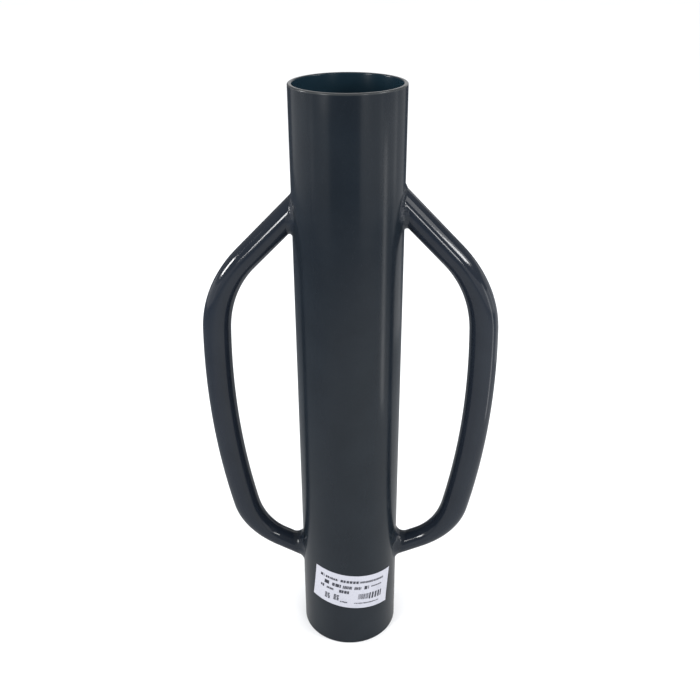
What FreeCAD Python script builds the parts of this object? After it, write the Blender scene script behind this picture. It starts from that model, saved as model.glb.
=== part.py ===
import FreeCAD, Part
import Sketcher
import math
import os

# A hand post driver: a heavy steel barrel, open at the top and closed at the bottom by a welded striking
# plate, with a bent tube handle welded to each side and a paper label round its lower front.
# Frame: the origin is the centre of the closed end, +Z runs up the barrel to the open mouth, +X points to
# the right handle, and the label faces -Y. Lengths are in millimetres and angles in degrees.

DIMENSIONS = (
    ("barrel_diameter", 89.1),
    ("barrel_wall", 3.2),
    ("barrel_length", 520.0),
    ("mouth_rounding", 1.0),
    ("foot_rounding", 0.8),
    ("plate_thickness", 19.0),
    ("plate_recess", 4.0),
    ("plate_gap", 0.2),
    ("plate_seat_depth", 1.0),
    ("plate_chamfer", 3.0),
    ("plate_weld_leg", 3.5),
    ("plate_weld_radius", 10.5),
    ("upper_joint_height", 427.8),
    ("upper_leg_slope", 45.5),
    ("upper_leg_length", 56.5),
    ("upper_bend_radius", 100.0),
    ("upper_bend_turn", 41.5),
    ("grip_radius", 700.0),
    ("grip_turn", 15.0),
    ("lower_bend_radius", 60.0),
    ("lower_bend_turn", 52.0),
    ("left_handle_drop", 6.9),
    ("handle_inset", 15.0),
    ("handle_wall", 2.3),
    ("grip_diameter", 24.0),
    ("upper_leg_depth", 21.4),
    ("upper_leg_breadth", 26.5),
    ("lower_leg_depth", 18.4),
    ("lower_leg_breadth", 20.0),
    ("upper_weld_leg", 5.5),
    ("lower_weld_leg", 7.5),
    ("weld_rounding_share", 0.85),
    ("label_width", 78.0),
    ("label_height", 39.0),
    ("label_thickness", 0.2),
    ("label_height_above_foot", 65.7),
    ("label_turn_from_front", 7.5),
    ("label_tilt", 7.5),
)

# the handle path's edges, in the order in which they are sketched
UPPER_LEG, UPPER_BEND, GRIP, LOWER_BEND, LOWER_LEG = "Edge1", "Edge2", "Edge3", "Edge4", "Edge5"
# an arc is stored anticlockwise, so the path enters each one at its end and leaves it at its start
BEND_ENTRY = 1.0
BEND_EXIT = 0.0

# how near two lengths are when they count as the same, and how many points of an edge are compared
SAME_LENGTH = 0.01
EDGE_SAMPLES = 12
OFFSET_TOLERANCE = 0.001

# the radius of the seat turned in the barrel's closed end, against which the striking plate stops
SEAT_RADIUS = "$barrel_diameter / 2 - $barrel_wall + $plate_seat_depth"

# a sketch's names for its own origin and for the places on a curve that a constraint can hold
ORIGIN = -1
START, END, CENTRE = 1, 2, 3

UP = FreeCAD.Vector(0, 0, 1)
XZ_TURN = FreeCAD.Rotation(FreeCAD.Vector(1, 0, 0), 90)

doc = FreeCAD.newDocument("post_driver")
sheet = doc.addObject("Spreadsheet::Sheet", "dimensions")
for row, (alias, number) in enumerate(DIMENSIONS, start=1):
    sheet.set(f"A{row}", alias)
    sheet.set(f"B{row}", str(number))
    sheet.setAlias(f"B{row}", alias)
doc.recompute()


def size(alias):
    """The number in the sheet's cell of that name."""
    return float(sheet.get(alias))


def bind(thing, **expressions):
    """Ties each named property to an expression in which $name is the sheet's cell of that name."""
    for name, expression in expressions.items():
        thing.setExpression(name.replace("__", "."), expression.replace("$", "dimensions."))


def origin_plane(body, role):
    for feature in body.Origin.OriginFeatures:
        if feature.Role == role:
            return feature
    raise ValueError(f"{body.Label} has no {role}")


def new_body(label):
    body = doc.addObject("PartDesign::Body", label)
    body.Label = label
    return body


def body_sketch(body, name, role):
    sketch = body.newObject("Sketcher::SketchObject", name)
    sketch.AttachmentSupport = [(origin_plane(body, role), "")]
    sketch.MapMode = "FlatFace"
    return sketch


def add_rule(sketch, name, parts, expression):
    """A named constraint that starts at its expression's value and stays tied to it."""
    expression = expression.replace("$", "dimensions.")
    value = float(sketch.evalExpression(expression))
    if parts[0] == "Angle":
        value = math.radians(value)
    index = sketch.addConstraint(Sketcher.Constraint(*parts, value))
    sketch.renameConstraint(index, name)
    sketch.setExpression(f"Constraints.{name}", expression)


def join(sketch, kind, *ends):
    """A geometric constraint between two ends of the sketch's curves."""
    sketch.addConstraint(Sketcher.Constraint(kind, *ends))


def expect_solved(sketch):
    doc.recompute()
    if not sketch.FullyConstrained:
        raise ValueError(f"{sketch.Label} isn't fully constrained")


def centred_circle(sketch, name, radius):
    """A circle on the sketch's origin, its radius tied to the sheet."""
    start_radius = size("barrel_diameter") / 2
    index = sketch.addGeometry(Part.Circle(FreeCAD.Vector(0, 0, 0), UP, start_radius), False)
    join(sketch, "Coincident", index, CENTRE, ORIGIN, START)
    add_rule(sketch, name, ("Radius", index), radius)


def round_edges(shape, radius, height):
    """The names of the circular edges of that radius at that height."""
    names = []
    for number, edge in enumerate(shape.Edges, start=1):
        curve = edge.Curve
        if not isinstance(curve, Part.Circle):
            continue
        same_radius = abs(curve.Radius - radius) < SAME_LENGTH
        same_height = abs(curve.Center.z - height) < SAME_LENGTH
        if same_radius and same_height:
            names.append(f"Edge{number}")
    return names


def seat_radius():
    return size("barrel_diameter") / 2 - size("barrel_wall") + size("plate_seat_depth")


def make_barrel():
    """The pipe, with the plate's seat turned in its foot and the edges of its mouth and foot rounded."""
    outer = size("barrel_diameter") / 2
    inner = outer - size("barrel_wall")
    length = size("barrel_length")
    body = new_body("barrel_tube")
    sketch = body_sketch(body, "barrel_section", "XY_Plane")
    centred_circle(sketch, "outer_radius", "$barrel_diameter / 2")
    centred_circle(sketch, "inner_radius", "$barrel_diameter / 2 - $barrel_wall")
    expect_solved(sketch)
    pipe = body.newObject("PartDesign::Pad", "barrel_pipe")
    pipe.Profile = sketch
    bind(pipe, Length="$barrel_length")
    seat_outline = body_sketch(body, "plate_seat_outline", "XY_Plane")
    centred_circle(seat_outline, "seat_radius", SEAT_RADIUS)
    expect_solved(seat_outline)
    seat = body.newObject("PartDesign::Pocket", "plate_seat")
    seat.Profile = seat_outline
    seat.Reversed = True
    bind(seat, Length="$plate_recess + $plate_thickness")
    doc.recompute()
    mouth = body.newObject("PartDesign::Fillet", "barrel_mouth_rounding")
    mouth_edges = round_edges(seat.Shape, outer, length) + round_edges(seat.Shape, inner, length)
    mouth.Base = (seat, mouth_edges)
    bind(mouth, Radius="$mouth_rounding")
    doc.recompute()
    foot = body.newObject("PartDesign::Fillet", "barrel_foot_rounding")
    foot.Base = (mouth, round_edges(mouth.Shape, outer, 0.0))
    bind(foot, Radius="$foot_rounding")
    return body


def make_head_plate():
    """The round striking plate, let into the closed end, with a weld preparation on its lower edge."""
    radius = seat_radius() - size("plate_gap")
    body = new_body("head_plate")
    sketch = body_sketch(body, "plate_outline", "XY_Plane")
    centred_circle(sketch, "plate_radius", f"{SEAT_RADIUS} - $plate_gap")
    expect_solved(sketch)
    sketch.AttachmentOffset = FreeCAD.Placement(UP * size("plate_recess"), FreeCAD.Rotation())
    sketch.setExpression("AttachmentOffset.Base.z", "dimensions.plate_recess")
    disc = body.newObject("PartDesign::Pad", "plate_disc")
    disc.Profile = sketch
    bind(disc, Length="$plate_thickness")
    doc.recompute()
    chamfer = body.newObject("PartDesign::Chamfer", "plate_chamfer")
    chamfer.Base = (disc, round_edges(disc.Shape, radius, size("plate_recess")))
    bind(chamfer, Size="$plate_chamfer")
    return body


def make_head_weld():
    """The ring of weld between the plate's chamfer, the plate's lower face and the inside of the pipe."""
    wall_radius = seat_radius()
    rim = wall_radius - size("plate_gap")
    face = size("plate_recess")
    groove = size("plate_chamfer")
    leg = size("plate_weld_leg")
    radius = size("plate_weld_radius")
    groove_top = FreeCAD.Vector(rim, face + groove, 0)
    wall_top = FreeCAD.Vector(wall_radius, face + groove, 0)
    wall_toe = FreeCAD.Vector(wall_radius, face - leg, 0)
    plate_toe = FreeCAD.Vector(rim - groove - leg, face, 0)
    groove_foot = FreeCAD.Vector(rim - groove, face, 0)
    chord = wall_toe - plate_toe
    bulge = radius - math.sqrt(radius**2 - chord.Length**2 / 4)
    crown = (wall_toe + plate_toe) / 2 + FreeCAD.Vector(chord.y, -chord.x, 0).normalize() * bulge

    body = new_body("head_weld")
    sketch = body_sketch(body, "weld_section", "XZ_Plane")
    sketch.addGeometry(
        [
            Part.LineSegment(groove_top, wall_top),
            Part.LineSegment(wall_top, wall_toe),
            Part.Arc(plate_toe, crown, wall_toe),
            Part.LineSegment(plate_toe, groove_foot),
            Part.LineSegment(groove_foot, groove_top),
        ],
        False,
    )
    top, wall, bead, plate, slant = range(5)
    join(sketch, "Coincident", top, END, wall, START)
    join(sketch, "Coincident", wall, END, bead, END)
    join(sketch, "Coincident", bead, START, plate, START)
    join(sketch, "Coincident", plate, END, slant, START)
    join(sketch, "Coincident", slant, END, top, START)
    join(sketch, "Horizontal", top)
    join(sketch, "Vertical", wall)
    join(sketch, "Horizontal", plate)
    rim = f"{SEAT_RADIUS} - $plate_gap"
    groove_foot = f"{rim} - $plate_chamfer"
    toe = f"{groove_foot} - $plate_weld_leg"
    across = ("DistanceX", ORIGIN, START)
    up = ("DistanceY", ORIGIN, START)
    add_rule(sketch, "wall_radius", (*across, wall, START), SEAT_RADIUS)
    add_rule(sketch, "rim_radius", (*across, top, START), rim)
    add_rule(sketch, "groove_radius", (*across, slant, START), groove_foot)
    add_rule(sketch, "toe_radius", (*across, bead, START), toe)
    add_rule(sketch, "face_height", (*up, slant, START), "$plate_recess")
    add_rule(sketch, "top_height", (*up, wall, START), "$plate_recess + $plate_chamfer")
    add_rule(sketch, "toe_height", (*up, wall, END), "$plate_recess - $plate_weld_leg")
    add_rule(sketch, "bead_radius", ("Radius", bead), "$plate_weld_radius")
    expect_solved(sketch)
    ring = body.newObject("PartDesign::Revolution", "weld_ring")
    ring.Profile = sketch
    ring.ReferenceAxis = (sketch, ["V_Axis"])
    ring.Angle = 360
    return body


def walk_handle():
    """The path's five curves, laid end to end: a leg, a bend, the long bowed grip, a bend and a leg."""
    slope = math.radians(size("upper_leg_slope"))
    inset = size("handle_inset")
    first_reach = size("barrel_diameter") / 2 - inset
    point = FreeCAD.Vector(first_reach, size("upper_joint_height") + inset * math.tan(slope), 0)
    heading = -slope
    run = size("upper_leg_length") + inset / math.cos(slope)
    step = FreeCAD.Vector(math.cos(heading), math.sin(heading), 0) * run
    curves = [Part.LineSegment(point, point + step)]
    point = point + step
    for part in ("upper_bend", "grip", "lower_bend"):
        radius = size(f"{part}_radius")
        turn = math.radians(size(f"{part}_turn"))
        centre = point + FreeCAD.Vector(math.sin(heading), -math.cos(heading), 0) * radius
        start = heading + math.pi / 2
        curves.append(Part.ArcOfCircle(Part.Circle(centre, UP, radius), start - turn, start))
        heading -= turn
        point = centre + FreeCAD.Vector(-math.sin(heading), math.cos(heading), 0) * radius
    run = (first_reach - point.x) / math.cos(heading)
    step = FreeCAD.Vector(math.cos(heading), math.sin(heading), 0) * run
    curves.append(Part.LineSegment(point, point + step))
    return curves


def make_handle_path():
    """The right handle's centreline, sketched in the XZ plane and starting and ending inside the barrel."""
    path = doc.addObject("Sketcher::SketchObject", "handle_path")
    path.Placement = FreeCAD.Placement(FreeCAD.Vector(0, 0, 0), XZ_TURN)
    path.addGeometry(walk_handle(), False)
    upper_leg, upper_bend, grip, lower_bend, lower_leg = range(5)
    join(path, "Tangent", upper_leg, END, upper_bend, END)
    join(path, "Tangent", upper_bend, START, grip, END)
    join(path, "Tangent", grip, START, lower_bend, END)
    join(path, "Tangent", lower_bend, START, lower_leg, START)
    reach = "$barrel_diameter / 2 - $handle_inset"
    height = "$upper_joint_height + $handle_inset * tan($upper_leg_slope * 1 deg)"
    run = "$upper_leg_length + $handle_inset / cos($upper_leg_slope * 1 deg)"
    add_rule(path, "start_reach", ("DistanceX", ORIGIN, START, upper_leg, START), reach)
    add_rule(path, "start_height", ("DistanceY", ORIGIN, START, upper_leg, START), height)
    add_rule(path, "leg_run", ("Distance", upper_leg), run)
    add_rule(path, "leg_slope", ("Angle", upper_leg), "-$upper_leg_slope * 1 deg")
    for curve, name in ((upper_bend, "upper_bend"), (grip, "grip"), (lower_bend, "lower_bend")):
        add_rule(path, f"{name}_radius", ("Radius", curve), f"${name}_radius")
        add_rule(path, f"{name}_turn", ("Angle", curve), f"${name}_turn * 1 deg")
    add_rule(path, "end_reach", ("DistanceX", ORIGIN, START, lower_leg, END), reach)
    expect_solved(path)
    return path


def section(path, name, edge, parameter, breadth, depth):
    """An ellipse square to the path at one end of an edge, with its breadth across the handle's plane."""
    ellipse = doc.addObject("Part::Ellipse", name)
    ellipse.AttachmentSupport = [(path, edge)]
    ellipse.MapMode = "NormalToEdge"
    ellipse.MapPathParameter = parameter
    bind(ellipse, MajorRadius=breadth, MinorRadius=depth)
    return ellipse


def sweep(path, name, edge, sections):
    piece = doc.addObject("Part::Sweep", name)
    piece.Sections = sections
    piece.Spine = (path, [edge])
    piece.Solid = True
    return piece


def make_bar(path, name, inset=""):
    """The handle's whole run as a filled bar, oval in the legs and round in the grip."""
    grip = ("$grip_diameter / 2" + inset, "$grip_diameter / 2" + inset)
    upper = ("$upper_leg_breadth / 2" + inset, "$upper_leg_depth / 2" + inset)
    lower = ("$lower_leg_breadth / 2" + inset, "$lower_leg_depth / 2" + inset)
    upper_leg = section(path, f"{name}_upper_leg_section", UPPER_BEND, BEND_ENTRY, *upper)
    upper_grip = section(path, f"{name}_upper_grip_section", UPPER_BEND, BEND_EXIT, *grip)
    lower_grip = section(path, f"{name}_lower_grip_section", LOWER_BEND, BEND_ENTRY, *grip)
    lower_leg = section(path, f"{name}_lower_leg_section", LOWER_BEND, BEND_EXIT, *lower)
    bar = doc.addObject("Part::MultiFuse", name)
    bar.Shapes = [
        sweep(path, f"{name}_upper_leg", UPPER_LEG, [upper_leg]),
        sweep(path, f"{name}_upper_bend", UPPER_BEND, [upper_leg, upper_grip]),
        sweep(path, f"{name}_grip", GRIP, [upper_grip]),
        sweep(path, f"{name}_lower_bend", LOWER_BEND, [lower_grip, lower_leg]),
        sweep(path, f"{name}_lower_leg", LOWER_LEG, [lower_leg]),
    ]
    return bar


def cut(name, base, tool):
    result = doc.addObject("Part::Cut", name)
    result.Base = base
    result.Tool = tool
    return result


def barrel_solid(name, radius):
    """A filled cylinder in the barrel's place."""
    cylinder = doc.addObject("Part::Cylinder", name)
    bind(cylinder, Radius=radius, Height="$barrel_length")
    return cylinder


def make_right_handle(path, bar, barrel_space):
    """A hollow tube, its ends coped to the round of the barrel."""
    bore = make_bar(path, "handle_bore", " - $handle_wall")
    tube = cut("handle_tube", bar, bore)
    handle = cut("right_handle", tube, barrel_space)
    handle.Label = "right_handle"
    return handle


def outer_edges(shape, radius):
    """The numbers of the edges that run round the barrel's axis at that radius."""
    numbers = []
    for number, edge in enumerate(shape.Edges, start=1):
        points = edge.discretize(EDGE_SAMPLES)
        if all(abs(math.hypot(point.x, point.y) - radius) < SAME_LENGTH for point in points):
            numbers.append(number)
    return numbers


def make_right_weld(path, end, leg, bend, parameter, bar, barrel_space):
    """A fillet bead round one joint: where a thicker leg and a thicker barrel meet, less the real ones."""
    name = f"right_{end}_weld"
    bead = f"${end}_weld_leg"
    breadth = f"${end}_leg_breadth / 2 + {bead}"
    depth = f"${end}_leg_depth / 2 + {bead}"
    thick_section = section(path, f"{name}_section", bend, parameter, breadth, depth)
    thick_leg = sweep(path, f"{name}_leg", leg, [thick_section])
    thick_barrel = barrel_solid(f"{name}_barrel", f"$barrel_diameter / 2 + {bead}")
    meeting = doc.addObject("Part::MultiCommon", f"{name}_meeting")
    meeting.Shapes = [thick_leg, thick_barrel]
    doc.recompute()
    radius = size(f"{end}_weld_leg") * size("weld_rounding_share")
    crown_radius = size("barrel_diameter") / 2 + size(f"{end}_weld_leg")
    rounded = doc.addObject("Part::Fillet", f"{name}_crown")
    rounded.Base = meeting
    rounded.Edges = [(number, radius, radius) for number in outer_edges(meeting.Shape, crown_radius)]
    off_barrel = cut(f"{name}_off_barrel", rounded, barrel_space)
    weld = cut(name, off_barrel, bar)
    weld.Label = name
    return weld


def make_left_twin(right, label):
    """The same piece on the other side of the barrel, set a little lower."""
    twin = doc.addObject("Part::Mirroring", label)
    twin.Label = label
    twin.Source = right
    twin.Normal = (1, 0, 0)
    bind(twin, Placement__Base__z="-$left_handle_drop")
    return twin


def make_label():
    """The paper label: a rectangle, turned a little, wrapped on the barrel as a thin curved sheet."""
    radius = size("barrel_diameter") / 2
    tilt = math.radians(size("label_tilt"))
    middle_turn = math.radians(size("label_turn_from_front") - 90)
    half_width = size("label_width") / 2
    half_height = size("label_height") / 2
    surface = Part.Cylinder()
    surface.Radius = radius
    corners = []
    for across, along in ((-1, -1), (1, -1), (1, 1), (-1, 1)):
        x = across * half_width
        y = along * half_height
        arc = x * math.cos(tilt) + y * math.sin(tilt)
        rise = y * math.cos(tilt) - x * math.sin(tilt)
        turn = middle_turn + arc / radius + 2 * math.pi
        corners.append(FreeCAD.Base.Vector2d(turn, size("label_height_above_foot") + rise))
    edges = []
    for corner, following in zip(corners, corners[1:] + corners[:1]):
        edges.append(Part.Geom2d.Line2dSegment(corner, following).toShape(surface))
    face = Part.Face(surface, Part.Wire(edges))
    face.validate()
    label = doc.addObject("Part::Feature", "label")
    label.Label = "label"
    label.Shape = face.makeOffsetShape(size("label_thickness"), OFFSET_TOLERANCE, fill=True)
    label.Placement = FreeCAD.Placement()
    return label


def check_document():
    """Stops if any object failed to build."""
    for thing in doc.Objects:
        if "Invalid" in thing.State or "Error" in thing.State:
            raise ValueError(f"{thing.Label} failed: {thing.State}")


def write_parts(parts):
    for part in parts:
        shape = part.Shape
        if shape.isNull() or not shape.isValid() or len(shape.Solids) != 1:
            raise ValueError(f"{part.Label} isn't one valid solid")
        print(f"{part.Label}: {shape.Volume / 1000:.2f} cm3")
    os.makedirs("parts", exist_ok=True)
    for part in parts:
        part.Shape.exportStep(f"parts/{part.Label}.step")


handle_path = make_handle_path()
handle_bar = make_bar(handle_path, "handle_bar")
barrel_space = barrel_solid("barrel_space", "$barrel_diameter / 2")
right_side = {
    "handle": make_right_handle(handle_path, handle_bar, barrel_space),
    "upper_weld": make_right_weld(
        handle_path, "upper", UPPER_LEG, UPPER_BEND, BEND_ENTRY, handle_bar, barrel_space
    ),
    "lower_weld": make_right_weld(
        handle_path, "lower", LOWER_LEG, LOWER_BEND, BEND_EXIT, handle_bar, barrel_space
    ),
}
sub_parts = [make_barrel(), make_head_plate(), make_head_weld(), make_label()]
sub_parts += right_side.values()
sub_parts += [make_left_twin(right, f"left_{name}") for name, right in right_side.items()]
doc.recompute()
check_document()
write_parts(sub_parts)
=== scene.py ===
import bmesh
import bpy
import math
import random
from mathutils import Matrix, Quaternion, Vector, noise


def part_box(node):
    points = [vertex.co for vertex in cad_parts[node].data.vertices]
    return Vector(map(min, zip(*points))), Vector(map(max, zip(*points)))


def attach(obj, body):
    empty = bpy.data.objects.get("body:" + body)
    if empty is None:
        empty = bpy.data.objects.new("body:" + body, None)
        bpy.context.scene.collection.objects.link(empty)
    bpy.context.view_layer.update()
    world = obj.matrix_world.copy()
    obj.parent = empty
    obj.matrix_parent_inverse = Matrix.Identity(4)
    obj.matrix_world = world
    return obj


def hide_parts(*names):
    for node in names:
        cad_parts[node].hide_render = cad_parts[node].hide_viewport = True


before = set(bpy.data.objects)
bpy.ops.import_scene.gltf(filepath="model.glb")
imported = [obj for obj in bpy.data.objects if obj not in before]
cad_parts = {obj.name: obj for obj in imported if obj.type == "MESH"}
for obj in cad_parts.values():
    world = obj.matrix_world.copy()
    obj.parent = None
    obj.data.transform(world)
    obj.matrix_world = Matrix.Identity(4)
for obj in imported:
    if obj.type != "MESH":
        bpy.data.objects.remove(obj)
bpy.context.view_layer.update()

# A hand post driver: a painted steel barrel, open at the top and closed at the foot by a welded striking
# plate, with a bent tube handle welded to each side and a paper label low on its front. Every length is in
# metres and every angle in degrees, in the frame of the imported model.

MM = 0.001

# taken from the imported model
_, barrel_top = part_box("barrel_tube")
plate_foot, plate_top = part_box("head_plate")
_, ring_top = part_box("head_weld")
LENGTH = barrel_top.z
RADIUS = barrel_top.y
PLATE_LOW = plate_foot.z
PLATE_HIGH = plate_top.z
PLATE_RADIUS = plate_top.x
SEAT_RADIUS = ring_top.x

# the barrel's and the plate's edges
WALL = 3.2 * MM
MOUTH_ROUNDING = 1.0 * MM
FOOT_ROUNDING = 0.8 * MM
PLATE_CHAMFER = 3.0 * MM
PLATE_WELD_LEG = 3.5 * MM

# the handle's centreline, as in the part's source: each bend is its radius and its turn
UPPER_JOINT_HEIGHT = 427.8 * MM
UPPER_LEG_SLOPE = 45.5
UPPER_LEG_LENGTH = 56.5 * MM
UPPER_BEND = (100.0 * MM, 41.5)
GRIP_BOW = (700.0 * MM, 15.0)
LOWER_BEND = (60.0 * MM, 52.0)
LEFT_HANDLE_DROP = 6.9 * MM
HANDLE_WALL = 2.3 * MM

# half the handle's depth in its own plane and half its breadth across that plane
UPPER_LEG_HALVES = (10.7 * MM, 13.25 * MM)
GRIP_HALVES = (12.0 * MM, 12.0 * MM)
LOWER_LEG_HALVES = (9.2 * MM, 10.0 * MM)

# how far down from the mouth a pale painted highlight runs round its outer edge, the wall's shares from
# outside to inside between which the outer enamel gives way to the bore's coat, and the colours of that
# painted highlight and of that coat
PAINTED_RIM_HIGHLIGHT_DEPTH = 1.7 * MM
ENAMEL_EDGE = (0.7, 0.95)
PAINTED_RIM_HIGHLIGHT_COLOUR = (0.034, 0.037, 0.039)
BORE_COLOUR = (0.008, 0.020, 0.030)

# the label, turned from the front towards the right handle, and its right edge tipped down
LABEL_WIDTH = 78.0 * MM
LABEL_HEIGHT = 39.0 * MM
LABEL_THICKNESS = 0.2 * MM
LABEL_MIDDLE_HEIGHT = 65.7 * MM
LABEL_TURN = 7.5
LABEL_TILT = 7.5
# its underside's height off the barrel, how far its corners lift, and the size of its faces
LABEL_UNDERSIDE = 0.02 * MM
LABEL_CORNER_LIFT = 0.35 * MM
LABEL_STEP = 1.5 * MM
# how close to its ends and to its long edges the lift keeps, as powers of the share of the way there
LIFT_POWERS = (12, 4)

# the label's generic print in millimetres from its middle: each line's left and right ends, its middle
# height, the height of its bars and their usual width, then the left and bottom of each block of lines,
# and each half of the bar code's left, right, bottom and top with the widths of its bars
PRINTED_LINES = (
    (-33.0, -28.8, 12.2, 3.8, 4.2),
    (-27.4, -15.0, 11.8, 2.8, 2.0),
    (-12.6, 5.0, 12.0, 3.4, 2.8),
    (6.0, 31.0, 12.0, 2.4, 1.5),
    (-28.0, -23.0, 5.6, 4.8, 5.0),
    (-20.0, -11.4, 5.2, 4.6, 4.2),
    (-9.6, -1.0, 5.0, 4.0, 1.7),
    (1.4, 8.0, 4.8, 3.6, 1.5),
    (11.0, 15.6, 5.2, 4.2, 3.4),
    (18.0, 29.5, 5.6, 1.6, 2.2),
    (-31.5, -27.5, -0.6, 3.4, 2.2),
    (-25.0, -18.0, -1.0, 2.8, 1.6),
    (-12.4, -3.0, -1.0, 3.8, 2.8),
    (-10.0, -3.0, -13.4, 1.8, 1.6),
    (3.6, 29.0, -13.6, 1.4, 1.6),
)
PRINTED_BLOCKS = ((-25.6, -14.6), (-16.8, -13.4))
BLOCK_SIZE = (5.2, 7.2)
BLOCK_ROWS = 4
BLOCK_LINE = (1.6, 2.8)
BAR_CODE = (
    (6.5, 16.3, -8.6, -2.2, (0.4, 0.6)),
    (17.2, 29.8, -9.4, -1.8, (1.4, 1.6, 2.0)),
)
BAR_GAP_SHARE = 0.6
# the least and greatest shares of a line's bar width and height that its bars take, and of that width
# that the gaps between them take
DASH_WIDTHS = (0.6, 0.95)
DASH_HEIGHTS = (0.85, 1.0)
DASH_GAPS = (0.12, 0.25)
PRINT_SEED = 4
# the print's edges keep to this grid across and up the label, as a label printer's dots do
PRINT_GRID = (0.2, 0.3)

# the camera's place, how far it looks down, to the left and leans over, its lens and sensor in mm, and the
# nearest and farthest that it sees
CAMERA_PLACE = (0.0496, -0.6270, 0.6299)
CAMERA_PITCH = 27.761
CAMERA_YAW = -4.43
CAMERA_ROLL = -0.1992
CAMERA_LENS = 42.806
CAMERA_SENSOR = 36.0
CAMERA_NEAR = 0.01
CAMERA_FAR = 100

# the middle of a pool of light painted on the floor for the shiny paint to mirror, and how far off that
# painted light fades to painted shade
PAINTED_LIGHT_POOL_MIDDLE = (0.25, -0.4, 0.0)
PAINTED_LIGHT_FADE_DISTANCE = 2.2
FLOOR_HALF = 20.0
# the room's light as it falls on things, and as the shiny paint mirrors it
ROOM_LIGHT = 1.2
MIRRORED_ROOM_LIGHT = 0.22

# the lights: each one's azimuth from the front towards the right, its elevation, its distance from the
# barrel's axis at the lit height, its width and height, and its brightness. The small bright ones draw the
# lines along the handles, and the panels shade the barrel's sides.
LIT_HEIGHT = 0.75 * LENGTH
LIGHTS = (
    ("left_front_light", -40, 12.5, 1.6, 0.32, 0.38, 24),
    ("left_light", -90, 12, 1.6, 0.30, 0.34, 28),
    ("left_panel", -97, -7, 1.6, 2.0, 0.36, 0.60),
    ("left_front_panel", -50, -7, 1.6, 1.1, 0.40, 0.42),
    ("right_front_light", 37, 12, 1.6, 0.16, 0.44, 14),
    ("right_light", 75, 22, 1.6, 0.42, 0.25, 20),
    ("right_high_light", 79, 28, 1.6, 0.9, 0.6, 2.6),
    ("right_front_panel", 50, -6, 1.6, 1.3, 0.46, 0.74),
    ("right_high_panel", 90, -7, 1.6, 1.2, 0.36, 0.85),
    ("right_panel", 122, -13, 0.7, 0.5, 0.45, 0.5),
    ("right_strip", 79, -20, 0.5, 0.06, 0.38, 2.0),
    ("back_light", 172, 14, 1.6, 1.4, 0.6, 0.6),
)

# how many faces go round each piece, how many make a rounded corner, and the least angle of a sharp edge
AROUND_BARREL = 288
AROUND_HANDLE = 72
AROUND_WELD = 420
ACROSS_WELD = 16
CORNER_STEPS = 8
SHARP_ANGLE = 38
# how many rings a handle's straight leg and each of its bends have, and how near points merge
LEG_STEPS = 5
BEND_STEPS = 40
MERGE_DISTANCE = MM / 1000

# the welds' ripples: their spacing, how far each trails back at its edges, and the mean of their shape
RIPPLE_SPACING = 2.3 * MM
RIPPLE_TRAIL = 0.45
MEAN_SCALLOP = 0.64
# how many lumps and wanderings of a weld there are to a metre, how much it wanders, and its toes' depth
LUMP_SCALE = 150.0
WANDER_SCALE = 90.0
WANDER = 0.10
TOE_SINK = 0.15 * MM
# how far a weld's root lies inside the steel, and where each seed's lumps are taken from
ROOT_DEPTH = 1.0 * MM
LUMP_START = (7.3, 3.1, 5.7)

# the welds at the handles' ends: their legs in the open corner, at the sides and in the narrow corner, how
# soon those corners begin, how full they are, and the height of their ripples and lumps
UPPER_WELD = {
    "open_leg": 3.0 * MM,
    "side_leg": 7.0 * MM,
    "narrow_leg": 5.0 * MM,
    "lean_share": 1.4,
    "fullness": 0.45,
    "ripple": 0.06 * MM,
    "lumps": 0.30 * MM,
}
LOWER_WELD = {
    "open_leg": 4.0 * MM,
    "side_leg": 8.0 * MM,
    "narrow_leg": 11.0 * MM,
    "lean_share": 2.2,
    "fullness": 0.35,
    "ripple": 0.06 * MM,
    "lumps": 0.35 * MM,
}
# the plate's weld, with how much and how often its legs wander and how far its root is off the wall
PLATE_WELD = {
    "fullness": 1.4,
    "ripple": 0.25 * MM,
    "lumps": 0.1 * MM,
    "wander": 0.06,
    "wander_scale": 9,
    "root_gap": 0.1 * MM,
    "seed": 9,
}


def smooth_step(share):
    return share * share * (3 - 2 * share)


# ---------------------------------------------------------------------------------------------- meshes


def clean_mesh(name, vertices, faces):
    """An object of those faces, merged where points coincide, facing outwards and shaded smooth."""
    mesh = bpy.data.meshes.new(name)
    mesh.from_pydata(vertices, [], faces)
    work = bmesh.new()
    work.from_mesh(mesh)
    bmesh.ops.remove_doubles(work, verts=work.verts, dist=MERGE_DISTANCE)
    bmesh.ops.dissolve_degenerate(work, edges=work.edges, dist=MERGE_DISTANCE)
    bmesh.ops.recalc_face_normals(work, faces=work.faces)
    for face in work.faces:
        face.smooth = True
    work.to_mesh(mesh)
    work.free()
    mesh.set_sharp_from_angle(angle=math.radians(SHARP_ANGLE))
    made = bpy.data.objects.new(name, mesh)
    bpy.context.scene.collection.objects.link(made)
    return made


def skin(name, rings):
    """A closed skin over rings of points: each ring is a loop, and the last ring joins the first."""
    count = len(rings[0])
    vertices = [point for ring in rings for point in ring]
    faces = []
    for row in range(len(rings)):
        following = (row + 1) % len(rings)
        for place in range(count):
            beside = (place + 1) % count
            corners = (row, place), (following, place), (following, beside), (row, beside)
            faces.append([ring * count + point for ring, point in corners])
    return clean_mesh(name, vertices, faces)


def revolve(name, profile, steps):
    """A solid of revolution about the barrel's axis, from (radius, height) pairs that go round a loop."""
    rings = []
    for step in range(steps):
        angle = 2 * math.pi * step / steps
        rings.append([Vector((r * math.cos(angle), r * math.sin(angle), z)) for r, z in profile])
    return skin(name, rings)


def corner(radius, height, rounding, start):
    """A rounded corner of a profile: a quarter turn anticlockwise about (radius, height)."""
    points = []
    for step in range(CORNER_STEPS + 1):
        angle = math.radians(start + 90 * step / CORNER_STEPS)
        points.append((radius + rounding * math.cos(angle), height + rounding * math.sin(angle)))
    return points


# ---------------------------------------------------------------------------------- barrel and its plate


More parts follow.
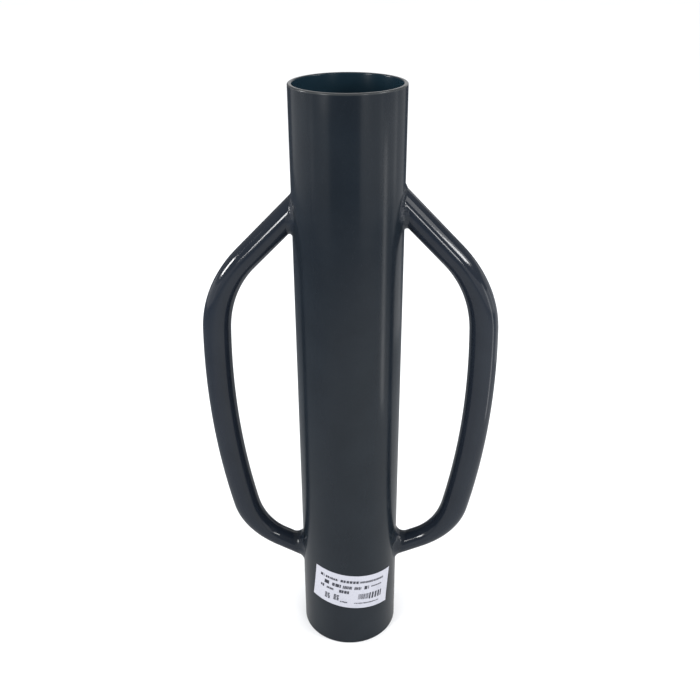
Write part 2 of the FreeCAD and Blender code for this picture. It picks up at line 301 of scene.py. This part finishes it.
def make_barrel():
    inner = RADIUS - WALL
    profile = [(SEAT_RADIUS, 0.0)]
    profile += corner(RADIUS - FOOT_ROUNDING, FOOT_ROUNDING, FOOT_ROUNDING, -90)
    profile += corner(RADIUS - MOUTH_ROUNDING, LENGTH - MOUTH_ROUNDING, MOUTH_ROUNDING, 0)
    profile += corner(inner + MOUTH_ROUNDING, LENGTH - MOUTH_ROUNDING, MOUTH_ROUNDING, 90)
    profile += [(inner, PLATE_HIGH), (SEAT_RADIUS, PLATE_HIGH)]
    return revolve("barrel", profile, AROUND_BARREL)


def make_plate():
    profile = [
        (0.0, PLATE_HIGH),
        (0.0, PLATE_LOW),
        (PLATE_RADIUS - PLATE_CHAMFER, PLATE_LOW),
        (PLATE_RADIUS, PLATE_LOW + PLATE_CHAMFER),
        (PLATE_RADIUS, PLATE_HIGH),
    ]
    return revolve("striking_plate", profile, AROUND_BARREL // 2)


# --------------------------------------------------------------------------------------------- handles


def across(heading):
    """The direction square to the path in the handle's plane, on the outside of its bends."""
    return Vector((-math.sin(heading), 0, math.cos(heading)))


def along(heading):
    return Vector((math.cos(heading), 0, math.sin(heading)))


def section(point, heading, halves, inset):
    """An oval square to the path."""
    depth, breadth = halves
    ring = []
    for step in range(AROUND_HANDLE):
        angle = 2 * math.pi * step / AROUND_HANDLE
        ring.append(
            point
            + across(heading) * (depth - inset) * math.cos(angle)
            + Vector((0, breadth - inset, 0)) * math.sin(angle)
        )
    return ring


def slide_to_barrel(point, heading):
    """The point moved along the leg until it meets the round of the barrel."""
    reach = math.sqrt(RADIUS**2 - point.y**2)
    return point + along(heading) * ((reach - point.x) / math.cos(heading))


def leg_rings(ring, heading):
    """The straight leg's rings, from its end coped to the barrel up to, but not including, that ring."""
    coped = [slide_to_barrel(point, heading) for point in ring]
    rings = []
    for step in range(LEG_STEPS):
        rings.append([start.lerp(end, step / LEG_STEPS) for start, end in zip(coped, ring)])
    return rings


def bend_rings(point, heading, bend, halves, inset):
    """The rings of one arc of the path, and where it ends. The oval changes smoothly along it."""
    radius, turn = bend[0], math.radians(bend[1])
    centre = point - across(heading) * radius
    first, last = halves
    rings = []
    for step in range(BEND_STEPS + 1):
        share = step / BEND_STEPS
        angle = heading - turn * share
        place = centre + across(angle) * radius
        blend = smooth_step(share)
        size = [a + (b - a) * blend for a, b in zip(first, last)]
        rings.append(section(place, angle, size, inset))
    return rings, place, angle


def handle_skin(inset):
    """The right handle's rings from its upper end to its lower end, for the outside or the bore.

    With them come the point and the heading where the lower leg begins.
    """
    heading = -math.radians(UPPER_LEG_SLOPE)
    joint = Vector((RADIUS, 0, UPPER_JOINT_HEIGHT))
    point = joint + along(heading) * UPPER_LEG_LENGTH
    upper_leg = leg_rings(section(point, heading, UPPER_LEG_HALVES, inset), heading)
    upper, point, heading = bend_rings(
        point, heading, UPPER_BEND, (UPPER_LEG_HALVES, GRIP_HALVES), inset
    )
    grip, point, heading = bend_rings(point, heading, GRIP_BOW, (GRIP_HALVES, GRIP_HALVES), inset)
    lower, point, heading = bend_rings(
        point, heading, LOWER_BEND, (GRIP_HALVES, LOWER_LEG_HALVES), inset
    )
    lower_leg = leg_rings(lower[-1], heading)
    return upper_leg + upper + grip[1:-1] + lower + lower_leg[::-1], point, heading


def place_on_side(point, side):
    """The right handle's point, or its mirror on the left, which sits a little lower."""
    if side > 0:
        return point
    return Vector((-point.x, point.y, point.z - LEFT_HANDLE_DROP))


def make_handle(name, side):
    outside, _, _ = handle_skin(0.0)
    bore, _, _ = handle_skin(HANDLE_WALL)
    rings = [[place_on_side(point, side) for point in ring] for ring in outside + bore[::-1]]
    return skin(name, rings)


# ----------------------------------------------------------------------------------------------- welds


def bead(name, stations, fullness, ripple, lumps, seed):
    """A closed run of weld. Each station is its two toes, the corner that it fills and a root inside that.

    It is hollow and runs smoothly into both sides at a fullness of 0, flat at 1 and crowned above 1.
    """
    start = Vector([seed * side for side in LUMP_START])
    run = 0.0
    previous = None
    rings = []
    for first, second, corner_point, root in stations:
        middle = (first + second) / 2
        pull = corner_point.lerp(middle, fullness)
        out = (middle - corner_point).normalized()
        if previous:
            run += (middle - previous).length
        previous = middle
        ring = []
        for step in range(ACROSS_WELD + 1):
            share = step / ACROSS_WELD
            point = first.lerp(pull, share).lerp(pull.lerp(second, share), share)
            phase = run / RIPPLE_SPACING + RIPPLE_TRAIL * (2 * share - 1) ** 2
            scallop = abs(math.sin(math.pi * phase)) - MEAN_SCALLOP
            lump = noise.noise(point * LUMP_SCALE + start) + 0.5 * noise.noise(point * LUMP_SCALE * 2 + start)
            arch = 4 * share * (1 - share)
            ring.append(point + out * arch * (ripple * scallop + lumps * lump))
        ring.append(root)
        rings.append(ring)
    return skin(name, rings)


def weld_reach(look, outwards, narrow):
    """The bead's leg at one place: at the joint's open corner, at its sides or in its narrow corner."""
    if outwards > 0:
        return look["side_leg"] + (look["open_leg"] - look["side_leg"]) * smooth_step(outwards)
    return look["side_leg"] + (look["narrow_leg"] - look["side_leg"]) * smooth_step(narrow)


def onto_handle(point, middle, side, halves):
    """The point moved square to the leg until it lies just under the handle's surface."""
    depth, breadth = halves
    local = point - middle
    deep = local.dot(side)
    scale = (1 - TOE_SINK / depth) / math.hypot(deep / depth, local.y / breadth)
    return point + (side * deep + Vector((0, local.y, 0))) * (scale - 1)


def joint_stations(heading, point, halves, look, seed):
    """The bead's toes on the barrel and on the handle, its corner and its root, round a right joint."""
    depth, breadth = halves
    axis_side = across(heading)
    stations = []
    for step in range(AROUND_WELD):
        angle = 2 * math.pi * step / AROUND_WELD
        offset = axis_side * depth * math.cos(angle) + Vector((0, breadth, 0)) * math.sin(angle)
        corner_point = slide_to_barrel(point + offset, heading)
        off_barrel = Vector((corner_point.x, corner_point.y, 0)).normalized()
        off_handle = axis_side * math.cos(angle) / depth + Vector((0, 1, 0)) * math.sin(angle) / breadth
        off_handle.normalize()
        over_barrel = (off_handle - off_barrel * off_handle.dot(off_barrel)).normalized()
        over_handle = (off_barrel - off_handle * off_barrel.dot(off_handle)).normalized()
        # negative where the leg leans over the barrel and the corner between them is narrow
        lean = off_handle.dot(off_barrel)
        narrow = max(0.0, -lean) * look["lean_share"]
        wide = max(0.0, lean) * look["lean_share"]
        reach = weld_reach(look, min(wide, 1.0), min(narrow, 1.0))
        reach *= 1 + WANDER * noise.noise(corner_point * WANDER_SCALE + Vector((seed, 0, 0)))
        barrel_toe = corner_point + over_barrel * reach
        flat = Vector((barrel_toe.x, barrel_toe.y, 0))
        barrel_toe += flat.normalized() * (RADIUS - TOE_SINK - flat.length)
        handle_toe = onto_handle(corner_point + over_handle * reach, point, axis_side, halves)
        root = corner_point - off_barrel * ROOT_DEPTH - off_handle * ROOT_DEPTH
        stations.append((barrel_toe, handle_toe, corner_point, root))
    return stations


def make_joint_weld(name, side, heading, point, halves, look, seed):
    stations = joint_stations(heading, point, halves, look, seed)
    placed = [tuple(place_on_side(place, side) for place in station) for station in stations]
    return bead(name, placed, look["fullness"], look["ripple"], look["lumps"], seed)


def make_plate_weld():
    stations = []
    for step in range(AROUND_WELD):
        angle = 2 * math.pi * step / AROUND_WELD
        out = Vector((math.cos(angle), math.sin(angle), 0))
        wander = 1 + PLATE_WELD["wander"] * noise.noise(out * PLATE_WELD["wander_scale"])
        wall_toe = out * SEAT_RADIUS + Vector((0, 0, PLATE_LOW - PLATE_WELD_LEG * wander))
        plate_reach = PLATE_RADIUS - PLATE_CHAMFER - PLATE_WELD_LEG * wander
        plate_toe = out * plate_reach + Vector((0, 0, PLATE_LOW))
        corner_point = out * SEAT_RADIUS + Vector((0, 0, PLATE_LOW))
        root_reach = SEAT_RADIUS - PLATE_WELD["root_gap"]
        root = out * root_reach + Vector((0, 0, PLATE_LOW + PLATE_CHAMFER / 2))
        stations.append((wall_toe, plate_toe, corner_point, root))
    look = PLATE_WELD
    return bead("plate_weld", stations, look["fullness"], look["ripple"], look["lumps"], look["seed"])


# ----------------------------------------------------------------------------------------------- label


def label_point(x, y, height):
    """A place on the label, x and y from its middle, at a height off the barrel."""
    tilt = math.radians(LABEL_TILT)
    arc = x * math.cos(tilt) + y * math.sin(tilt)
    rise = y * math.cos(tilt) - x * math.sin(tilt)
    turn = math.radians(LABEL_TURN - 90) + arc / RADIUS
    reach = RADIUS + height
    return Vector((reach * math.cos(turn), reach * math.sin(turn), LABEL_MIDDLE_HEIGHT + rise))


def dashes(left, right, middle, height, step, chooser):
    """A printed line drawn as short bars of uneven size, the way small print looks from afar."""
    marks = []
    x = left
    while x < right:
        width = step * chooser.uniform(*DASH_WIDTHS)
        half = height / 2 * chooser.uniform(*DASH_HEIGHTS)
        marks.append((x, min(x + width, right), middle - half, middle + half))
        x += width + step * chooser.uniform(*DASH_GAPS)
    return marks


def bars(left, right, bottom, top, widths, chooser):
    """Upright bars of a few widths, with narrower gaps."""
    marks = []
    x = left
    while x < right:
        width = chooser.choice(widths)
        marks.append((x, x + width, bottom, top))
        x += width + BAR_GAP_SHARE * chooser.choice(widths)
    return marks


def label_marks():
    """The generic print: rectangles in millimetres as (left, right, bottom, top) from the label's middle."""
    chooser = random.Random(PRINT_SEED)
    marks = []
    for line in PRINTED_LINES:
        marks += dashes(*line, chooser)
    for left, bottom in PRINTED_BLOCKS:
        for row in range(BLOCK_ROWS):
            middle = bottom + (row + 0.5) * BLOCK_SIZE[1] / BLOCK_ROWS
            marks += dashes(left, left + BLOCK_SIZE[0], middle, *BLOCK_LINE, chooser)
    for half in BAR_CODE:
        marks += bars(*half, chooser)
    return marks


def on_print_grid(mark):
    """The mark in metres, with its edges moved to the printer's dots."""
    across_dot, up_dot = PRINT_GRID
    dots = (across_dot, across_dot, up_dot, up_dot)
    return [round(side / dot) * dot * MM for side, dot in zip(mark, dots)]


def cuts(low, high, step, edges):
    """Where a side of the sheet is divided: at even steps and at each mark's edges."""
    count = round((high - low) / step)
    places = {round(low + (high - low) * part / count, 7) for part in range(count + 1)}
    places |= {round(edge, 7) for edge in edges}
    return sorted(places)


def make_label():
    """A thin curved sheet with its print as faces of their own material, its corners lifting a little."""
    marks = [on_print_grid(mark) for mark in label_marks()]
    half_width = LABEL_WIDTH / 2
    half_height = LABEL_HEIGHT / 2
    xs = cuts(-half_width, half_width, LABEL_STEP, [edge for mark in marks for edge in mark[:2]])
    ys = cuts(-half_height, half_height, LABEL_STEP, [edge for mark in marks for edge in mark[2:]])
    along_power, up_power = LIFT_POWERS
    vertices = []
    for height in (LABEL_THICKNESS, LABEL_UNDERSIDE):
        for y in ys:
            for x in xs:
                lift = (abs(x) / half_width) ** along_power * (abs(y) / half_height) ** up_power
                vertices.append(label_point(x, y, height + LABEL_CORNER_LIFT * lift))
    across_count = len(xs)
    layer = across_count * len(ys)
    faces = []
    printed = set()
    for row, (bottom, top) in enumerate(zip(ys, ys[1:])):
        for column, (left, right) in enumerate(zip(xs, xs[1:])):
            x = (left + right) / 2
            y = (bottom + top) / 2
            first = row * across_count + column
            quad = [first, first + 1, first + 1 + across_count, first + across_count]
            if any(mark[0] < x < mark[1] and mark[2] < y < mark[3] for mark in marks):
                printed.add(len(faces))
            faces.append(quad)
            faces.append([corner_index + layer for corner_index in reversed(quad)])
    border = list(range(across_count))
    border += [row * across_count + across_count - 1 for row in range(1, len(ys))]
    border += [(len(ys) - 1) * across_count + column for column in reversed(range(across_count - 1))]
    border += [row * across_count for row in reversed(range(1, len(ys) - 1))]
    for start, end in zip(border, border[1:] + border[:1]):
        faces.append([end, start, start + layer, end + layer])
    mesh = bpy.data.meshes.new("label_sheet")
    mesh.from_pydata(vertices, [], faces)
    for polygon in mesh.polygons:
        polygon.use_smooth = True
        polygon.material_index = int(polygon.index in printed)
    mesh.set_sharp_from_angle(angle=math.radians(SHARP_ANGLE))
    made = bpy.data.objects.new("label_sheet", mesh)
    bpy.context.scene.collection.objects.link(made)
    return made


# ------------------------------------------------------------------------------------------- materials

# a colour mix node's sockets by number, because several of them share a name
MIX_FACTOR = 0
MIX_FIRST = 6
MIX_SECOND = 7
MIX_RESULT = 2


def node(tree, kind, inputs, **settings):
    """A node with its settings made and its inputs set, each to a value or to another node's output."""
    made = tree.nodes.new(kind)
    for name, value in settings.items():
        setattr(made, name, value)
    for name, value in inputs.items():
        if isinstance(value, bpy.types.NodeSocket):
            tree.links.new(value, made.inputs[name])
        else:
            made.inputs[name].default_value = value
    return made


def start_material(name):
    material = bpy.data.materials.new(name)
    material.use_nodes = True
    tree = material.node_tree
    shader = tree.nodes["Principled BSDF"]
    place = tree.nodes.new("ShaderNodeTexCoord").outputs["Object"]
    return material, tree, shader, place


def grain(tree, place, scale, detail):
    """A cloudy pattern from 0 to 1 whose features are about 1 / scale metres across."""
    inputs = {"Vector": place, "Scale": scale, "Detail": detail}
    return node(tree, "ShaderNodeTexNoise", inputs).outputs["Fac"]


def ramp(tree, factor, stops):
    """Colours at stops along a factor, each stop as (place, (red, green, blue))."""
    made = node(tree, "ShaderNodeValToRGB", {"Fac": factor})
    elements = made.color_ramp.elements
    while len(elements) < len(stops):
        elements.new(0.5)
    for element, (place, colour) in zip(elements, stops):
        element.position = place
        element.color = (*colour, 1)
    return made.outputs["Color"]


def spread(tree, factor, low, high, low_in=0.3, high_in=0.7):
    """A factor mapped from one range of numbers to another."""
    inputs = {
        "Value": factor,
        "From Min": low_in,
        "From Max": high_in,
        "To Min": low,
        "To Max": high,
    }
    return node(tree, "ShaderNodeMapRange", inputs).outputs["Result"]


def mix(tree, factor, first, second):
    """Two colours mixed by a factor from a node. Each colour is a tuple or a node's output."""
    made = node(tree, "ShaderNodeMix", {MIX_FACTOR: factor}, data_type="RGBA")
    for place, value in ((MIX_FIRST, first), (MIX_SECOND, second)):
        if isinstance(value, bpy.types.NodeSocket):
            tree.links.new(value, made.inputs[place])
        else:
            made.inputs[place].default_value = (*value, 1)
    return made.outputs[MIX_RESULT]


def bump(tree, height, distance, normal=None):
    inputs = {"Height": height, "Distance": distance}
    if normal:
        inputs["Normal"] = normal
    return node(tree, "ShaderNodeBump", inputs).outputs["Normal"]


def painted_rim_highlight_and_bore_coat(tree, place, colour):
    """A pale painted highlight round the mouth's outer edge, and a bluer coat down the bore."""
    flat = node(tree, "ShaderNodeVectorMath", {0: place, 1: (1, 1, 0)}, operation="MULTIPLY")
    from_axis = node(tree, "ShaderNodeVectorMath", {0: flat.outputs["Vector"]}, operation="LENGTH")
    height = node(tree, "ShaderNodeSeparateXYZ", {"Vector": place}).outputs["Z"]
    starts, ends = ENAMEL_EDGE
    outside = spread(
        tree, from_axis.outputs["Value"], 0, 1, RADIUS - ends * WALL, RADIUS - starts * WALL
    )
    near_mouth = spread(tree, height, 0, 1, LENGTH - PAINTED_RIM_HIGHLIGHT_DEPTH, LENGTH - 0.5 * PAINTED_RIM_HIGHLIGHT_DEPTH)
    # painted highlight: the outside of the wall near the mouth is drawn paler, standing in for light off the
    # rounded edge
    painted_rim_highlight = node(tree, "ShaderNodeMath", {0: outside, 1: near_mouth}, operation="MULTIPLY")
    coat = mix(tree, outside, BORE_COLOUR, colour)
    return mix(tree, painted_rim_highlight.outputs["Value"], coat, PAINTED_RIM_HIGHLIGHT_COLOUR)


def paint(name, shades, roughness, specular, peel, painted_highlight_and_coat=None):
    """Sprayed enamel on steel: cloudy shade, fine dust in the film, and an orange-peel surface."""
    material, tree, shader, place = start_material(name)
    darker, lighter, dusty = shades
    cloud = ramp(tree, grain(tree, place, 22, 4), ((0.25, darker), (0.75, lighter)))
    dust = spread(tree, grain(tree, place, 1400, 1), 0.0, 0.55, 0.66, 0.80)
    colour = mix(tree, dust, cloud, dusty)
    # a given colour step, here the painted highlight round the mouth and the bore's coat
    if painted_highlight_and_coat:
        colour = painted_highlight_and_coat(tree, place, colour)
    low, high = roughness
    gloss = spread(tree, grain(tree, place, 60, 3), low, high)
    waves = bump(tree, grain(tree, place, 45, 2), 0.02 * MM)
    orange_peel = bump(tree, grain(tree, place, 620, 2), peel, waves)
    tree.links.new(colour, shader.inputs["Base Color"])
    tree.links.new(gloss, shader.inputs["Roughness"])
    tree.links.new(orange_peel, shader.inputs["Normal"])
    shader.inputs["Specular IOR Level"].default_value = specular
    return material


def label_paper():
    """White coated paper, with a faint cool tint, soft creases and a few grey smudges."""
    material, tree, shader, place = start_material("label_paper")
    fibres = ramp(
        tree, grain(tree, place, 900, 3), ((0.3, (0.375, 0.38, 0.43)), (0.7, (0.445, 0.45, 0.50)))
    )
    smudge = spread(tree, grain(tree, place, 70, 4), 0.0, 0.35, 0.56, 0.78)
    colour = mix(tree, smudge, fibres, (0.275, 0.285, 0.34))
    creases = bump(tree, grain(tree, place, 85, 2), 0.22 * MM)
    tree.links.new(colour, shader.inputs["Base Color"])
    tree.links.new(spread(tree, grain(tree, place, 200, 2), 0.34, 0.5), shader.inputs["Roughness"])
    tree.links.new(creases, shader.inputs["Normal"])
    return material


def label_ink():
    """Thin black print that lets a little of the paper through."""
    material, tree, shader, place = start_material("label_ink")
    colour = ramp(
        tree, grain(tree, place, 700, 3), ((0.4, (0.012, 0.014, 0.022)), (0.75, (0.05, 0.05, 0.07)))
    )
    tree.links.new(colour, shader.inputs["Base Color"])
    tree.links.new(spread(tree, grain(tree, place, 500, 2), 0.4, 0.6), shader.inputs["Roughness"])
    return material


def in_gloss(tree):
    """1 where a shiny surface mirrors this place, and 0 where it is seen or gives soft light."""
    return tree.nodes.new("ShaderNodeLightPath").outputs["Is Glossy Ray"]


def floor_finish():
    """A matt white studio sweep, slightly uneven; reflections see a painted pool of light fading to shade."""
    material, tree, shader, place = start_material("studio_floor")
    white = ramp(tree, grain(tree, place, 3, 3), ((0.3, (0.88, 0.88, 0.88)), (0.7, (0.9, 0.9, 0.9))))
    # painted light and shade seen only in reflections: brightest round one spot, darker farther off
    painted_light_pool = node(tree, "ShaderNodeVectorMath", {0: place, 1: PAINTED_LIGHT_POOL_MIDDLE}, operation="DISTANCE")
    painted_reflected_light = ramp(
        tree,
        spread(tree, painted_light_pool.outputs["Value"], 0, 1, 0, PAINTED_LIGHT_FADE_DISTANCE),
        (
            (0.0, (0.45, 0.45, 0.43)),
            (0.24, (0.36, 0.36, 0.36)),
            (0.37, (0.20, 0.21, 0.22)),
            (0.65, (0.07, 0.08, 0.10)),
        ),
    )
    colour = mix(tree, in_gloss(tree), white, painted_reflected_light)
    tree.links.new(colour, shader.inputs["Base Color"])
    shader.inputs["Roughness"].default_value = 0.9
    shader.inputs["Specular IOR Level"].default_value = 0.1
    return material


# ---------------------------------------------------------------------------------------------- studio


def make_floor():
    half = FLOOR_HALF
    corners = [(-half, -half, 0), (half, -half, 0), (half, half, 0), (-half, half, 0)]
    mesh = bpy.data.meshes.new("floor")
    mesh.from_pydata(corners, [], [(0, 1, 2, 3)])
    floor = bpy.data.objects.new("floor", mesh)
    bpy.context.scene.collection.objects.link(floor)
    mesh.materials.append(floor_finish())


def make_world():
    world = bpy.data.worlds.new("studio_room")
    world.use_nodes = True
    tree = world.node_tree
    background = tree.nodes["Background"]
    background.inputs["Color"].default_value = (0.97, 0.98, 1.0, 1)
    strength = spread(tree, in_gloss(tree), ROOM_LIGHT, MIRRORED_ROOM_LIGHT, 0, 1)
    tree.links.new(strength, background.inputs["Strength"])
    bpy.context.scene.world = world


def softbox(name, azimuth, elevation, distance, width, height, brightness):
    """A rectangular light that faces the barrel's axis, and that the camera doesn't see."""
    turn = math.radians(azimuth)
    rise = math.radians(elevation)
    middle = Vector((0, 0, LIT_HEIGHT))
    away = Vector((math.sin(turn) * math.cos(rise), -math.cos(turn) * math.cos(rise), math.sin(rise)))
    light = bpy.data.lights.new(name, "AREA")
    light.shape = "RECTANGLE"
    light.size = width
    light.size_y = height
    light.energy = math.pi * width * height * brightness
    made = bpy.data.objects.new(name, light)
    made.location = middle + away * distance
    made.rotation_mode = "QUATERNION"
    made.rotation_quaternion = away.to_track_quat("Z", "Y")
    made.visible_camera = False
    bpy.context.scene.collection.objects.link(made)


def make_lights():
    for light in LIGHTS:
        softbox(*light)


def make_camera():
    pitch = math.radians(CAMERA_PITCH)
    yaw = math.radians(CAMERA_YAW)
    roll = math.radians(CAMERA_ROLL)
    forward = Vector((math.sin(yaw) * math.cos(pitch), math.cos(yaw) * math.cos(pitch), -math.sin(pitch)))
    camera = bpy.data.cameras.new("camera")
    camera.lens = CAMERA_LENS
    camera.sensor_width = CAMERA_SENSOR
    camera.clip_start = CAMERA_NEAR
    camera.clip_end = CAMERA_FAR
    made = bpy.data.objects.new("camera", camera)
    made.location = CAMERA_PLACE
    made.rotation_mode = "QUATERNION"
    made.rotation_quaternion = forward.to_track_quat("-Z", "Y") @ Quaternion((0, 0, 1), roll)
    bpy.context.scene.collection.objects.link(made)
    bpy.context.scene.camera = made
    bpy.context.scene.view_settings.view_transform = "Standard"


# -------------------------------------------------------------------------------------------- assembly


def stand_for(piece, cad_node, slot, *materials):
    """The piece takes its CAD node's place, on the one body, with its finish."""
    for material in materials:
        piece.data.materials.append(material)
    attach(piece, "root")
    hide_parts(cad_node)


# the barrel's enamel, with a painted highlight round the mouth's outer edge
barrel_paint = paint(
    "barrel_paint",
    ((0.006, 0.009, 0.013), (0.009, 0.013, 0.018), (0.022, 0.027, 0.034)),
    (0.17, 0.21),
    0.32,
    0.010 * MM,
    painted_rim_highlight_and_bore_coat,
)
steel_paint = paint(
    "steel_paint",
    ((0.008, 0.011, 0.017), (0.012, 0.016, 0.023), (0.028, 0.034, 0.042)),
    (0.08, 0.13),
    0.4,
    0.004 * MM,
)
weld_paint = paint(
    "weld_paint",
    ((0.007, 0.010, 0.015), (0.012, 0.016, 0.023), (0.034, 0.040, 0.048)),
    (0.16, 0.26),
    0.4,
    0.010 * MM,
)

stand_for(make_barrel(), "barrel_tube", "barrel_paint", barrel_paint)
stand_for(make_plate(), "head_plate", "steel_paint", weld_paint)
stand_for(make_plate_weld(), "head_weld", "steel_paint", weld_paint)
stand_for(make_label(), "label", "label_paper", label_paper(), label_ink())

upper_heading = -math.radians(UPPER_LEG_SLOPE)
upper_point = Vector((RADIUS, 0, UPPER_JOINT_HEIGHT))
_, lower_point, lower_heading = handle_skin(0.0)
for side_name, side, seed in (("right", 1, 1), ("left", -1, 4)):
    handle = make_handle(f"{side_name}_grip_tube", side)
    stand_for(handle, f"{side_name}_handle", "steel_paint", steel_paint)
    upper_weld = make_joint_weld(
        f"{side_name}_upper_bead", side, upper_heading, upper_point, UPPER_LEG_HALVES, UPPER_WELD, seed
    )
    stand_for(upper_weld, f"{side_name}_upper_weld", "steel_paint", weld_paint)
    lower_weld = make_joint_weld(
        f"{side_name}_lower_bead", side, lower_heading, lower_point, LOWER_LEG_HALVES, LOWER_WELD, seed + 1
    )
    stand_for(lower_weld, f"{side_name}_lower_weld", "steel_paint", weld_paint)

make_floor()
make_world()
make_lights()
make_camera()
